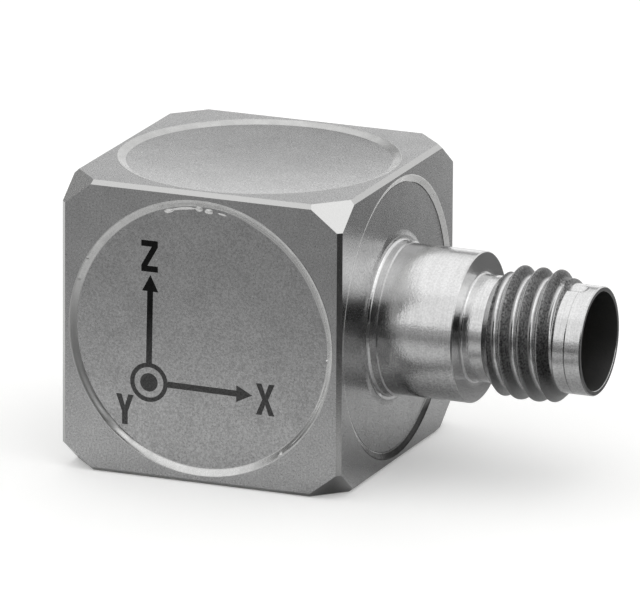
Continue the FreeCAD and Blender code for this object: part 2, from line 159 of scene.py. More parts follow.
class Nodes:
    """Short way to write a node tree."""

    def __init__(self, name):
        self.material = bpy.data.materials.new(name)
        self.material.use_nodes = True
        self.tree = self.material.node_tree
        self.shader = self.tree.nodes["Principled BSDF"]

    @classmethod
    def of_tree(cls, tree):
        made = cls.__new__(cls)
        made.tree = tree
        return made

    def add(self, kind, **settings):
        node = self.tree.nodes.new(kind)
        for key, value in settings.items():
            setattr(node, key, value)
        return node

    def link(self, source, target):
        self.tree.links.new(source, target)

    def feed(self, socket, value):
        if isinstance(value, bpy.types.NodeSocket):
            self.link(value, socket)
        else:
            socket.default_value = value

    def coordinates(self, output="Object"):
        return self.add("ShaderNodeTexCoord").outputs[output]

    def stretched(self, vector, scale):
        node = self.add("ShaderNodeMapping")
        self.link(vector, node.inputs["Vector"])
        node.inputs["Scale"].default_value = scale
        return node.outputs["Vector"]

    def split(self, vector):
        node = self.add("ShaderNodeSeparateXYZ")
        self.link(vector, node.inputs[0])
        return node.outputs

    def noise(self, vector, per_mm, detail=2.0, roughness=0.5):
        node = self.add("ShaderNodeTexNoise")
        self.link(vector, node.inputs["Vector"])
        node.inputs["Scale"].default_value = per_mm / MM
        node.inputs["Detail"].default_value = detail
        node.inputs["Roughness"].default_value = roughness
        return node.outputs["Fac"]

    def math(self, operation, a, b=0.0):
        node = self.add("ShaderNodeMath", operation=operation)
        for socket, value in zip(node.inputs, (a, b)):
            self.feed(socket, value)
        return node.outputs[0]

    def vector_math(self, operation, a, b=(0, 0, 0)):
        node = self.add("ShaderNodeVectorMath", operation=operation)
        self.feed(node.inputs[0], a)
        self.feed(node.inputs[1], b)
        return node.outputs["Value" if operation in ("DOT_PRODUCT", "LENGTH") else "Vector"]

    def ranged(self, value, from_low, from_high, to_low, to_high, smooth=False):
        node = self.add("ShaderNodeMapRange", interpolation_type="SMOOTHSTEP" if smooth else "LINEAR")
        for socket, number in zip(node.inputs, (value, from_low, from_high, to_low, to_high)):
            self.feed(socket, number)
        return node.outputs[0]

    def only_between(self, mask, value, low, high):
        """Mask that is cut off where the value is outside a range."""
        mask = self.math("MULTIPLY", mask, self.math("GREATER_THAN", value, low))
        return self.math("MULTIPLY", mask, self.math("LESS_THAN", value, high))

    def grey_of(self, shade):
        node = self.add("ShaderNodeCombineColor")
        for socket in node.inputs:
            self.link(shade, socket)
        return node.outputs["Color"]

    def mixed(self, share, a, b):
        node = self.add("ShaderNodeMix", data_type="RGBA")
        self.feed(node.inputs[0], share)
        self.feed(node.inputs[6], a)
        self.feed(node.inputs[7], b)
        return node.outputs[2]

    def bump(self, height, distance_mm, strength=1.0, normal=None):
        node = self.add("ShaderNodeBump")
        node.inputs["Strength"].default_value = strength
        node.inputs["Distance"].default_value = distance_mm * MM
        self.link(height, node.inputs["Height"])
        if normal is not None:
            self.link(normal, node.inputs["Normal"])
        return node.outputs["Normal"]

    def finish(self, **inputs):
        for name, value in inputs.items():
            self.feed(self.shader.inputs[name.replace("_", " ")], value)
        return self.material


def grey(level):
    return (level, level, level * 0.99, 1.0)


# Base greys
BLASTED_GREY = 0.47
MACHINED_GREY = 0.52
TURNED_GREY = 0.68
# Painted shade: dark grey of the mouth's inner wall, for the shade inside the bore
MOUTH_SHADE_GREY = 0.2

# Noise cells per millimetre
BLAST_GRAIN = 12.0
BLAST_PITS = 5.0
BLAST_PATCHES = 0.7
CUTTER_LINES = 14.0
TURNED_RINGS = 16.0
TURNED_GRAIN = 10.0
TURNED_STREAKS = 2.6
WELD_GRAIN = 14.0
WELD_RIPPLE = 1.3
MARK_GRAIN = 11.0
PLAIN_MOTTLE = 3.0

# Height of the bumps
BLAST_BUMP = 0.009
TURNED_GRAIN_BUMP = 0.006
TURNED_RING_BUMP = 0.004
WELD_BUMP = 0.008
MARK_BUMP = 0.01
PLAIN_BUMP = 0.004

# Roughness where the noise is low and where it is high, and what some places add to it
BLASTED_ROUGH = (0.3, 0.22)
MACHINED_ROUGH = (0.16, 0.24)
TURNED_ROUGH = (0.19, 0.14)
WELD_ROUGH = (0.3, 0.22)
MOUTH_ROUGHER = 0.35
THREAD_ROUGHER = 0.22
DARK_SIDE_ROUGHER = 0.25

# Radii and X of the normal between which the thread's rougher finish and painted shade set in, and the Z
# between which the painted shade turns from half to full, weaker towards the bottom
THREAD_DARK_RADII = (2.6, 2.72)
THREAD_DARK_FACING = (-0.55, 0.05)
SCOOP_DARK_FACING = (0.15, 0.5)
THREAD_SHADE_HEIGHTS = (4.3, 6.0)

# Z between which the turned grain gets shallower, and the light left in it there; the darker grain towards
# the bottom is grain with painted shade
GRAIN_HEIGHTS = (4.5, 8.0)
GRAIN_LIGHT = (0.62, 0.92)

# Z between which the laser mark gets darker, and its greys there
MARK_HEIGHTS = (5, 8)
MARK_GREYS = (0.09, 0.016)

# A chamfer or corner cut is where no part of the unit normal comes up to this
FACE_NORMAL = 0.95

# Sharp edges of the plain solids and of the set metal, in degrees
SOLID_SHARP = 20
WELD_SHARP = 60


def blasted_titanium(name, machined_edges):
    """Bead-blasted faces with a fine speckle; the chamfers and corner cuts stay smooth and bright."""
    n = Nodes(name)
    place = n.coordinates()
    grain = n.noise(place, BLAST_GRAIN, detail=3.0, roughness=0.65)
    pits = n.noise(place, BLAST_PITS)
    patches = n.noise(place, BLAST_PATCHES, detail=3.0, roughness=0.6)
    speckle = n.ranged(grain, 0.38, 0.62, BLASTED_GREY * 0.8, BLASTED_GREY * 1.2)
    shade = n.math("MULTIPLY", speckle, n.ranged(patches, 0.3, 0.7, 0.94, 1.06))
    shade = n.math("MULTIPLY", shade, n.ranged(pits, 0.7, 0.76, 1.0, 1.35))
    shade = n.math("MULTIPLY", shade, n.ranged(pits, 0.24, 0.3, 0.7, 1.0))
    colour = n.grey_of(shade)
    rough = n.ranged(grain, 0.3, 0.7, *BLASTED_ROUGH)
    normal = n.bump(grain, BLAST_BUMP, strength=0.5)
    if machined_edges:
        x, y, z = n.split(n.vector_math("ABSOLUTE", n.coordinates("Normal")))
        machined = n.math("LESS_THAN", n.math("MAXIMUM", n.math("MAXIMUM", x, y), z), FACE_NORMAL)
        cutter = n.noise(n.stretched(place, (1, 1, 0.15)), CUTTER_LINES, detail=1.0)
        colour = n.mixed(machined, colour, grey(MACHINED_GREY))
        rough = n.math("ADD", n.math("MULTIPLY", rough, n.math("SUBTRACT", 1.0, machined)),
                       n.math("MULTIPLY", n.ranged(cutter, 0.3, 0.7, *MACHINED_ROUGH), machined))
    return n.finish(Base_Color=colour, Metallic=1.0, Roughness=rough, Normal=normal)


def dark_thread(n, x, from_axis, grain, height):
    """Mask of the thread's rougher finish and painted shade, with painted shade in the scoop's far end, and
    how much the painted shade darkens the metal.
    """
    normal_x = n.split(n.coordinates("Normal"))["X"]
    # Painted shade, with a rougher finish, on the crests and the flanks facing +X
    thread = n.ranged(normal_x, *THREAD_DARK_FACING, 0.0, 1.0, smooth=True)
    low, high = (radius * MM for radius in THREAD_DARK_RADII)
    thread = n.math("MULTIPLY", thread, n.ranged(from_axis, low, high, 0.0, 1.0))
    low, high = (SIDE_FACE + THREAD_START) * MM, (SIDE_FACE + THREAD_END + 0.1) * MM
    thread = n.only_between(thread, x, low, high)
    # Painted shade in the scoop's far end, where the recess is shaded
    scooped = n.ranged(normal_x, *SCOOP_DARK_FACING, 0.0, 1.0, smooth=True)
    low, high = (SIDE_FACE + SCOOP_START - SCOOP_RADIUS) * MM, (SIDE_FACE + SCOOP_START) * MM
    thread = n.math("MAXIMUM", thread, n.only_between(scooped, x, low, high))
    thread_shade = n.math("MULTIPLY", thread, n.ranged(grain, 0.35, 0.65, 0.62, 0.92))
    low, high = (z * MM for z in THREAD_SHADE_HEIGHTS)
    return thread, n.math("MULTIPLY", thread_shade, n.ranged(height, low, high, 0.5, 1.0))


def turned_titanium():
    """Lathe-turned surface: fine rings round the X axis, with grain that darkens more towards the bottom,
    partly painted shade. The mouth is dull and painted dark as shade inside the bore, and the crests and the
    outer flanks of the thread have a rougher, grainy finish with painted shade over it, weaker towards the
    bottom."""
    n = Nodes("turned_titanium")
    place = n.coordinates()
    x, _, z = n.split(place)
    rings = n.noise(n.stretched(place, (1, 0.02, 0.02)), TURNED_RINGS, detail=3.0, roughness=0.6)
    grain = n.noise(place, TURNED_GRAIN, roughness=0.6)
    streaks = n.noise(n.stretched(place, (1, 0.25, 0.25)), TURNED_STREAKS, detail=3.0, roughness=0.6)
    off_axis = n.vector_math("SUBTRACT", place, (0, 0, CUBE_MIDDLE.z * MM))
    from_axis = n.vector_math("LENGTH", n.vector_math("MULTIPLY", off_axis, (0, 1, 1)))
    # Painted shade: the mouth's inner wall is coloured dark grey, and made rougher, for the shade inside the
    # bore
    inside = n.math(
        "MULTIPLY",
        n.math("LESS_THAN", from_axis, (MOUTH_RADIUS + 0.01) * MM),
        n.math("LESS_THAN", x, (SHELL_HIGH.x - 0.02) * MM),
    )
    shade = n.math("MULTIPLY", n.ranged(rings, 0.3, 0.7, TURNED_GREY * 0.95, TURNED_GREY * 1.05),
                   n.ranged(streaks, 0.3, 0.7, 0.96, 1.04))
    low, high = (height * MM for height in GRAIN_HEIGHTS)
    # Grain with painted shade: it darkens more towards the bottom
    darkest_grain_and_shade = n.ranged(z, low, high, *GRAIN_LIGHT)
    shade = n.math("MULTIPLY", shade, n.ranged(grain, 0.35, 0.65, darkest_grain_and_shade, 1.06))
    # Painted shade on the thread, weaker towards the bottom
    thread, thread_shade = dark_thread(n, x, from_axis, grain, z)
    shade = n.math("MULTIPLY", shade, n.math("SUBTRACT", 1.0, thread_shade))
    colour = n.mixed(inside, n.grey_of(shade), grey(MOUTH_SHADE_GREY))
    rough = n.ranged(streaks, 0.3, 0.7, *TURNED_ROUGH)
    rough = n.math("ADD", rough, n.math("MULTIPLY", inside, MOUTH_ROUGHER))
    rough = n.math("ADD", rough, n.math("MULTIPLY", thread, THREAD_ROUGHER))
    normal = n.bump(rings, TURNED_RING_BUMP, strength=0.4)
    normal = n.bump(grain, TURNED_GRAIN_BUMP, strength=0.9, normal=normal)
    tangent = n.add("ShaderNodeTangent", direction_type="RADIAL", axis="X")
    n.link(tangent.outputs[0], n.shader.inputs["Tangent"])
    return n.finish(Base_Color=colour, Metallic=1.0, Roughness=rough, Normal=normal, Anisotropic=0.3)


def seam_dark_side(n, place, ripple, shade, dark_side, dull_within):
    """Grey of a front seam that is darker on one side, given as (turn, half width, grey left), and
    that has the face's grey where it ran over the cover. Also gives that side's mask."""
    turn, half, left = dark_side
    middle = n.vector_math("SUBTRACT", place, (0, 0, CUBE_MIDDLE.z * MM))
    from_middle = n.vector_math("LENGTH", n.vector_math("MULTIPLY", middle, (1, 0, 1)))
    over = n.ranged(from_middle, (dull_within - 0.06) * MM, dull_within * MM, 1.0, 0.0)
    shade = n.mixed(over, shade, grey(BLASTED_GREY * 1.08))
    towards = (math.cos(math.radians(turn)), 0, math.sin(math.radians(turn)))
    cosine = n.vector_math("DOT_PRODUCT", n.vector_math("NORMALIZE", middle), towards)
    cosine = n.math("ADD", cosine, n.math("MULTIPLY", ripple, 0.1))
    edge = math.cos(math.radians(half))
    dark_side_share = n.ranged(cosine, edge, edge + 0.2, 0.0, 1.0)
    return n.mixed(dark_side_share, shade, grey(left)), dark_side_share


def weld_metal(name, dark, light, dark_side=None, dull_within=0.0, frosted=None, bottom_shade=None):
    """Metal that melted and set again. Frosted is (Z where it starts, Z where it is full, metal left),
    and the bottom's painted shade is (Z where it is full, Z where it ends, grey left)."""
    n = Nodes(name)
    place = n.coordinates()
    height = n.split(place)["Z"]
    grain = n.noise(place, WELD_GRAIN, detail=3.0, roughness=0.6)
    ripple = n.noise(place, WELD_RIPPLE)
    shade = n.mixed(n.ranged(n.math("ADD", grain, ripple), 0.7, 1.3, 0.0, 1.0), grey(dark), grey(light))
    rough = n.ranged(ripple, 0.3, 0.7, *WELD_ROUGH)
    metallic = 1.0
    if frosted is not None:
        low, high, left = frosted
        metallic = n.ranged(height, low * MM, high * MM, 1.0, left)
    if bottom_shade is not None:
        # Painted shade: the seam darkens towards its bottom
        low, high, left = bottom_shade
        shade = n.mixed(n.ranged(height, low * MM, high * MM, 1.0, 0.0), shade, grey(left))
    # Darker, rougher stretch on one side of the seam
    if dark_side is not None:
        shade, dark_side_share = seam_dark_side(n, place, ripple, shade, dark_side, dull_within)
        rough = n.math("ADD", rough, n.math("MULTIPLY", dark_side_share, DARK_SIDE_ROUGHER))
    normal = n.bump(grain, WELD_BUMP, strength=0.35)
    return n.finish(Base_Color=shade, Metallic=metallic, Roughness=rough, Normal=normal)


def laser_mark():
    """Dark oxide left by the marking laser, darker in the upper marks."""
    n = Nodes("laser_mark")
    place = n.coordinates()
    grain = n.noise(place, MARK_GRAIN)
    low, high = (height * MM for height in MARK_HEIGHTS)
    # Darker towards the upper marks
    depth = n.ranged(n.split(place)["Z"], low, high, *MARK_GREYS)
    shade = n.math("MULTIPLY", depth, n.ranged(grain, 0.3, 0.7, 0.7, 1.3))
    normal = n.bump(grain, MARK_BUMP, strength=0.4)
    return n.finish(Base_Color=n.grey_of(shade), Metallic=1.0, Roughness=0.5, Normal=normal)


def plain_stuff(name, dark, light, metallic, rough):
    """Even material with a fine mottle."""
    n = Nodes(name)
    grain = n.noise(n.coordinates(), PLAIN_MOTTLE, detail=4.0, roughness=0.6)
    shade = n.mixed(n.ranged(grain, 0.3, 0.7, 0.0, 1.0), dark, light)
    return n.finish(
        Base_Color=shade,
        Metallic=metallic,
        Roughness=n.ranged(grain, 0.3, 0.7, rough * 0.85, rough * 1.15),
        Normal=n.bump(grain, PLAIN_BUMP, strength=0.4),
    )


MATERIALS = {
    "titanium_blasted": blasted_titanium("blasted_titanium", machined_edges=True),
    "titanium_cover": blasted_titanium("blasted_cover", machined_edges=False),
    "titanium_turned": turned_titanium(),
    "post_metal": plain_stuff("ground_titanium", grey(0.5), grey(0.6), 1.0, 0.3),
    "insulator": plain_stuff("dark_insulator", grey(0.012), grey(0.025), 0.0, 0.25),
    "contact": plain_stuff("gold_plating", (0.75, 0.56, 0.24, 1), (0.86, 0.68, 0.34, 1), 1.0, 0.25),
    "crystal": plain_stuff("lapped_ceramic", (0.62, 0.58, 0.48, 1), (0.76, 0.72, 0.62, 1), 0.0, 0.35),
    "mass_metal": plain_stuff("tungsten_alloy", grey(0.3), grey(0.4), 1.0, 0.35),
    "ring_metal": plain_stuff("spring_steel", grey(0.52), grey(0.64), 1.0, 0.25),
    "board": plain_stuff("hybrid_board", (0.8, 0.79, 0.74, 1), (0.9, 0.89, 0.85, 1), 0.0, 0.5),
    "chip": plain_stuff("chip_package", grey(0.03), grey(0.06), 0.0, 0.5),
    "lead": plain_stuff("gold_ribbon", (0.72, 0.54, 0.26, 1), (0.84, 0.66, 0.36, 1), 1.0, 0.3),
}
TOP_WELD = weld_metal("top_weld_metal", 0.47, 0.58)
# Side seam with painted shade at its bottom
SIDE_WELD = weld_metal("side_weld_metal", 0.72, 0.86, frosted=(6.5, 9, 0.35), bottom_shade=(1.6, 2.6, 0.09))
# Front seam darker and rougher on its left, a little below the middle
FRONT_WELD = weld_metal("front_weld_metal", 0.58, 0.74, dark_side=(194, 54, 0.44), dull_within=6.32)
BEAD = weld_metal("bead_metal", 0.6, 0.76, frosted=(10, 11, 0.4))
MARK = laser_mark()


def dress(thing, material):
    thing.data.materials.clear()
    thing.data.materials.append(material)


for part in frame["record"]["subparts"]:
    node = frame["nodes"][part["node"]]
    dress(node, MATERIALS[part["material_slot"]])
    node.data.shade_smooth()
    node.data.set_sharp_from_angle(angle=math.radians(SOLID_SHARP))


# Meshes


def piece(name, vertices, faces, material, smooth_angle=30):
    """New piece of the object from vertices in millimetres."""
    mesh = bpy.data.meshes.new(name)
    mesh.from_pydata([tuple(float(number) * MM for number in v) for v in vertices], [], faces)
    mesh.validate()
    mesh.shade_smooth()
    mesh.set_sharp_from_angle(angle=math.radians(smooth_angle))
    thing = bpy.data.objects.new(name, mesh)
    bpy.context.scene.collection.objects.link(thing)
    dress(thing, material)
    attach(thing, "root")
    return thing


def ring_faces(rows, columns, closed_rows=False):
    """Quads of a grid whose columns go all the way round."""
    faces = []
    for row in range(rows if closed_rows else rows - 1):
        below, above = row * columns, (row + 1) % rows * columns
        for column in range(columns):
            beside = (column + 1) % columns
            faces.append((below + column, below + beside, above + beside, above + column))
    return faces


def turned_over(faces):
    return [tuple(reversed(face)) for face in faces]


# Receptacle: a surface of revolution about the cube's X axis, with its thread and scoop as relief


def band_radius(height):
    """Outside of the threaded band before its groove is cut, with 45 degree ends."""
    rising = NECK_RADIUS + (height - THREAD_START)
    falling = RIM_RADIUS + (THREAD_END - height)
    return np.minimum(THREAD_MAJOR, np.minimum(rising, falling))


def runout_radius(height):
    """Radius of the low ridge beside the last crest."""
    outer, inner = (THREAD_END + slope for slope in RUNOUT_SLOPE)
    return RIM_RADIUS + RUNOUT_RISE * smoothstep(outer, inner, height)


def soft_min(a, b, rounding):
    """Smaller of two, with a rounded change-over."""
    blend = np.clip(0.5 + 0.5 * (b - a) / rounding, 0, 1)
    return b * (1 - blend) + a * blend - rounding * blend * (1 - blend)


def groove_radius(height, angle):
    """Radius that the helical groove leaves."""
    middle = THREAD_GROOVE_AT_TOP + THREAD_PITCH * (angle / (2 * math.pi) - 0.25)
    away = np.abs((height - middle + THREAD_PITCH / 2) % THREAD_PITCH - THREAD_PITCH / 2)
    flank = THREAD_ROOT + (away - THREAD_ROOT_FLAT / 2) / math.tan(THREAD_FLANK)
    return -soft_min(-flank, -THREAD_ROOT + 0 * flank, THREAD_ROUNDING)


def scoop_radius(height, angle):
    """Radius that the scoop leaves, or the unlimited one beside it."""
    axis = RIM_RADIUS + SCOOP_RADIUS - SCOOP_DEPTH
    beyond = np.maximum(0, np.maximum(SCOOP_START - height, height - SCOOP_START - SCOOP_LENGTH))
    turn = angle - SCOOP_ANGLE
    inside = SCOOP_RADIUS ** 2 - (axis * np.sin(turn)) ** 2 - beyond ** 2
    reached = axis * np.cos(turn) - np.sqrt(np.maximum(inside, 0))
    return np.where((inside > 0) & (np.cos(turn) > 0), reached, UNLIMITED)


def turned_line(height, middle, width, depth):
    """Shallow V groove round the axis."""
    return depth * np.clip(1 - np.abs(height - middle) / (width / 2), 0, 1)


def outside_radius(height, angle):
    """Outside of the receptacle above the neck's foot, at a height and at angles round the axis."""
    radius = np.where(height < THREAD_START, NECK_RADIUS, RIM_RADIUS) + 0 * angle
    on_thread = (height >= THREAD_START) & (height <= THREAD_END)
    thread = soft_min(band_radius(height) + 0 * angle, groove_radius(height, angle), THREAD_ROUNDING)
    floor = np.where(height < (THREAD_START + THREAD_END) / 2, NECK_RADIUS, RIM_RADIUS)
    radius = np.where(on_thread, np.maximum(thread, floor), radius)
    near_start = smoothstep(*RUNOUT_HALF_WIDTHS, np.abs(angle - RUNOUT_ANGLE))
    beside_crest = height > THREAD_END + RUNOUT_BESIDE_CREST
    ridge = np.minimum(runout_radius(height), band_radius(height) + UNLIMITED * beside_crest)
    radius = np.where(height > THREAD_END + RUNOUT_START, np.maximum(radius, near_start * ridge), radius)
    radius = radius - turned_line(height, RIM_LINE, RIM_LINE_WIDTH, RIM_LINE_DEPTH)
    return np.minimum(radius, scoop_radius(height, angle))


def receptacle_rows(angle):
    """Rows of (height, radii) from the foot over the outside, and back through the mouth and the well."""
    rows = []

    def plain_row(height, radius):
        rows.append((height, np.full(len(angle), radius)))

    def relief_row(height):
        rows.append((height, outside_radius(height, angle)))

    plain_row(SHELL_BOTTOM, FOOT_RADIUS)
    for height, radius in FOOT_STEP:
        plain_row(height, radius)
    for height in np.linspace(0.5, BARREL_TOP - BARREL_CHAMFER, 12):
        plain_row(height, BARREL_RADIUS)
    plain_row(BARREL_TOP, BARREL_RADIUS - BARREL_CHAMFER)
    for radius in np.linspace(BARREL_RADIUS - BARREL_CHAMFER, NECK_RADIUS + NECK_CORNER, 5)[1:]:
        plain_row(BARREL_TOP, radius)
    for turn in np.linspace(0, math.pi / 2, 6)[1:]:
        plain_row(BARREL_TOP + NECK_CORNER * (1 - math.cos(turn)),
                  NECK_RADIUS + NECK_CORNER * (1 - math.sin(turn)))
    for height in np.linspace(BARREL_TOP + 0.2, THREAD_START - 0.05, 5):
        relief_row(height)
    for height in np.arange(THREAD_START, THREAD_END + 0.4, THREAD_ROWS):
        relief_row(height)
    for height in np.arange(RIM_LINE - 0.08, RIM_LINE + 0.08, LINE_ROWS):
        relief_row(height)
    for height in np.arange(RIM_LINE + 0.09, SCOOP_START + SCOOP_LENGTH + SCOOP_RADIUS, THREAD_ROWS):
        relief_row(height)
    relief_row(SHELL_TOP - RIM_CHAMFER)
    plain_row(SHELL_TOP, RIM_RADIUS - RIM_CHAMFER)
    plain_row(SHELL_TOP, MOUTH_RADIUS + MOUTH_CHAMFER)
    plain_row(SHELL_TOP - MOUTH_CHAMFER, MOUTH_RADIUS)
    well_top = SHELL_TOP - MOUTH_DEPTH
    insert_top = well_top - WELL_DEPTH
    for height in np.linspace(SHELL_TOP - 0.3, well_top, 6):
        plain_row(height, MOUTH_RADIUS)
    plain_row(well_top, WELL_RADIUS)
    plain_row(insert_top, WELL_RADIUS)
    plain_row(insert_top, INSERT_RADIUS)
    plain_row(insert_top - INSERT_LENGTH, INSERT_RADIUS)
    plain_row(insert_top - INSERT_LENGTH, REAR_RADIUS)
    plain_row(SHELL_BOTTOM, REAR_RADIUS)
    return rows


def receptacle():
    """Receptacle with its rounded thread and fine relief, in place of the plain solid."""
    angle = np.arange(SHELL_COLUMNS) / SHELL_COLUMNS * 2 * math.pi
    rows = receptacle_rows(angle)
    vertices = []
    for height, radii in rows:
        for radius, turn in zip(radii, angle):
            vertices.append((
                SIDE_FACE + height,
                CUBE_MIDDLE.y + radius * math.cos(turn),
                CUBE_MIDDLE.z + radius * math.sin(turn),
            ))
    faces = turned_over(ring_faces(len(rows), SHELL_COLUMNS, closed_rows=True))
    shell = piece("receptacle", vertices, faces, MATERIALS["titanium_turned"])
    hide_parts("connector_shell")


receptacle()


# Covers and their weld seams


class Face:
    """Frame of a covered face: its outward normal, and two directions in the face."""

    def __init__(self, normal, across, up, level, cover_level, cover_radius, seam_radius):
        self.normal, self.across, self.up = Vector(normal), Vector(across), Vector(up)
        self.level = level
        self.sink = level - cover_level
        self.cover_radius = cover_radius
        self.seam_radius = seam_radius

    def point(self, radius, turn, height):
        """Point of the face at polar coordinates, with its height over the cube's face."""
        outward = self.normal * (self.level + height)
        flat = self.across * (radius * math.cos(turn)) + self.up * (radius * math.sin(turn))
        middle = CUBE_MIDDLE - self.normal * CUBE_MIDDLE.dot(self.normal)
        return middle + outward + flat

    def height(self, radius):
        """Height of the solids: the cube's face, the cone of the seam and the sunken cover."""
        share = (radius - self.cover_radius) / (self.seam_radius - self.cover_radius)
        return -self.sink * (1 - np.clip(share, 0, 1))


# Outer radii of the seams
FRONT_SEAM = 6.58
TOP_SEAM = 6.6
SIDE_SEAM = 6.65

FRONT = Face((0, -1, 0), (1, 0, 0), (0, 0, 1), -CUBE_LOW.y, -FRONT_COVER_FACE, FRONT_COVER_RADIUS, FRONT_SEAM)
TOP = Face((0, 0, 1), (1, 0, 0), (0, 1, 0), CUBE_HIGH.z, TOP_COVER_FACE, TOP_COVER_RADIUS, TOP_SEAM)
SIDE = Face((1, 0, 0), (0, 1, 0), (0, 0, 1), CUBE_HIGH.x, SIDE_COVER_FACE, SIDE_COVER_RADIUS, SIDE_SEAM)

# Set metal: height over the solids, overlap on the cube, depth of its hidden edges, share of the step
# that it fills everywhere, and rise per extra width where it melted inwards
WELD_LIFT = 0.004
WELD_OVERLAP = 0.04
WELD_SUNK = 0.004
WELD_FILL = 0.06
MELT_RISE = 0.15

# Degrees over which melted and filled stretches set in
MELT_ENDS = 22
FILL_ENDS = 8

# Ripple of the set metal: cells per millimetre along and across the seam, coarse and fine, a shift
# between the two, and the shares of even, coarse and fine height
RIPPLE_COARSE = (2.2, 3.0)
RIPPLE_FINE = (7.0, 8.0)
RIPPLE_SHIFT = 40
RIPPLE_SHARES = (0.6, 0.3, 0.1)

SEAM_COLUMNS = 1080
SEAM_ROWS = 26
BEAD_COLUMNS = 24
BEAD_ROWS = 7
BEAD_WOBBLE = 0.12


def angle_from(turn, degrees):
    return (turn - math.radians(degrees) + math.pi) % (2 * math.pi) - math.pi


def weld_seam(name, face, material, inner_edge, ripple, melted=(), fills=(), bumps=()):
    """Ring of set metal over a cover's sunken edge. The inner edge is measured inwards from the cover's
    radius. Melted stretches are (first, last turn in degrees, extra width inwards), fills are (first,
    last turn, share of the step that is filled), bumps are (turn, radius, length, width, height)."""
    turn = np.arange(SEAM_COLUMNS) / SEAM_COLUMNS * 2 * math.pi
    along = turn * face.seam_radius
    inner = np.full(SEAM_COLUMNS, face.cover_radius - inner_edge)
    filled = np.full(SEAM_COLUMNS, WELD_FILL)
    raised = np.zeros(SEAM_COLUMNS)
    spans = [(inner, -1, MELT_ENDS, span) for span in melted]
    spans += [(raised, MELT_RISE, MELT_ENDS, span) for span in melted]
    spans += [(filled, 1, FILL_ENDS, span) for span in fills]
    for target, factor, ends, (first, last, amount) in spans:
        middle, half = (first + last) / 2, math.radians(last - first) / 2
        within = half - np.abs(angle_from(turn, middle))
        target += factor * amount * smoothstep(0, math.radians(ends), within)
    vertices = []
    for number in range(SEAM_ROWS):
        share = number / (SEAM_ROWS - 1)
        radius = inner + share * (face.seam_radius + WELD_OVERLAP - inner)
        ramp_share = smoothstep(0, 1, (radius - inner) / (face.seam_radius - inner))
        step = face.height(radius)
        base = step + filled * (-face.sink * (1 - ramp_share) - step)
        coarse = smooth_noise(along * RIPPLE_COARSE[0], radius * RIPPLE_COARSE[1])
        fine = smooth_noise(along * RIPPLE_FINE[0], radius * RIPPLE_FINE[1] + RIPPLE_SHIFT)
        even_share, coarse_share, fine_share = RIPPLE_SHARES
        uneven = even_share + coarse_share * coarse + fine_share * fine
        lift = (raised + ripple * uneven) * math.sin(math.pi * share)
        for at, middle, length, width, height in bumps:
            reach = (angle_from(turn, at) * middle / length) ** 2 + ((radius - middle) / width) ** 2
            lift = lift + height * np.exp(-2 * reach)
        heights = np.maximum(base + lift, step) + WELD_LIFT
        if number in (0, SEAM_ROWS - 1):
            heights = step - WELD_SUNK
        vertices += [face.point(r, t, height) for r, t, height in zip(radius, turn, heights)]
    faces = ring_faces(SEAM_ROWS, SEAM_COLUMNS)
    if face is not FRONT:
        faces = turned_over(faces)
    piece(name, vertices, faces, material, smooth_angle=WELD_SHARP)


def weld_beads(name, face, beads):
    """Small mounds of set metal on a cover: (turn in degrees, radius, length, width, height)."""
    vertices, faces = [], []
    for at, middle, length, width, height in beads:
        first = len(vertices)
        for number in range(BEAD_ROWS):
            left = 1 - number / BEAD_ROWS
            top = height * (1 - left ** 2) - WELD_SUNK
            for column in range(BEAD_COLUMNS):
                around = 2 * math.pi * column / BEAD_COLUMNS
                east, north = math.cos(around), math.sin(around)
                wobble = 1 + BEAD_WOBBLE * smooth_noise(np.array(at + 2 * east), np.array(2 * north))
                turn = math.radians(at) + left * length * wobble * east / middle
                vertices.append(face.point(middle + left * width * wobble * north, turn, top - face.sink))
        last_ring = first + (BEAD_ROWS - 1) * BEAD_COLUMNS
        rings = [tuple(first + corner for corner in loop) for loop in ring_faces(BEAD_ROWS, BEAD_COLUMNS)]
        faces += turned_over(rings)
        faces.append(tuple(last_ring + column for column in reversed(range(BEAD_COLUMNS))))
    piece(name, vertices, faces, BEAD, smooth_angle=WELD_SHARP)


# Fillet round the receptacle's foot: outer and inner radius, top, depth of its hidden edge, and hollowness
FILLET_OUTER = 4.15
FILLET_INNER = 3.76
FILLET_TOP = -0.046
FILLET_SUNK = 0.003
FILLET_HOLLOW = 1.6


def foot_fillet():
    """Hollow fillet of blasted metal from the side cover up to the receptacle's foot."""
    columns, rows = 240, 9
    bottom = -SIDE.sink - FILLET_SUNK
    vertices = []
    for number in range(rows):
        share = number / (rows - 1)
        radius = FILLET_OUTER + share * (FILLET_INNER - FILLET_OUTER)
        height = bottom + (FILLET_TOP - bottom) * share ** FILLET_HOLLOW
        vertices += [SIDE.point(radius, 2 * math.pi * column / columns, height) for column in range(columns)]
    faces = ring_faces(rows, columns)
    material = MATERIALS["titanium_cover"]
    piece("foot_fillet", vertices, faces, material, smooth_angle=WELD_SHARP)


# Front seam: melted to the right, filled to the left, with pits, a fine line and small bumps
FRONT_MELTED = ((2, 82, 0.12),)
FRONT_FILLS = ((142, 225, 0.93), (225, 246, 0.6), (303, 352, 0.85), (82, 110, 0.2))
FRONT_BUMPS = (
    (88.4, 6.3, 0.05, 0.25, -0.08),
    (108, 6.3, 0.07, 0.12, -0.08),
    (308, 6.46, 0.12, 0.08, 0.05),
    (326, 6.47, 1.5, 0.05, -0.07),
    (356, 6.35, 0.1, 0.08, 0.04),
    (150, 6.5, 0.05, 0.08, -0.05),
    (160, 6.45, 0.05, 0.1, -0.05),
)

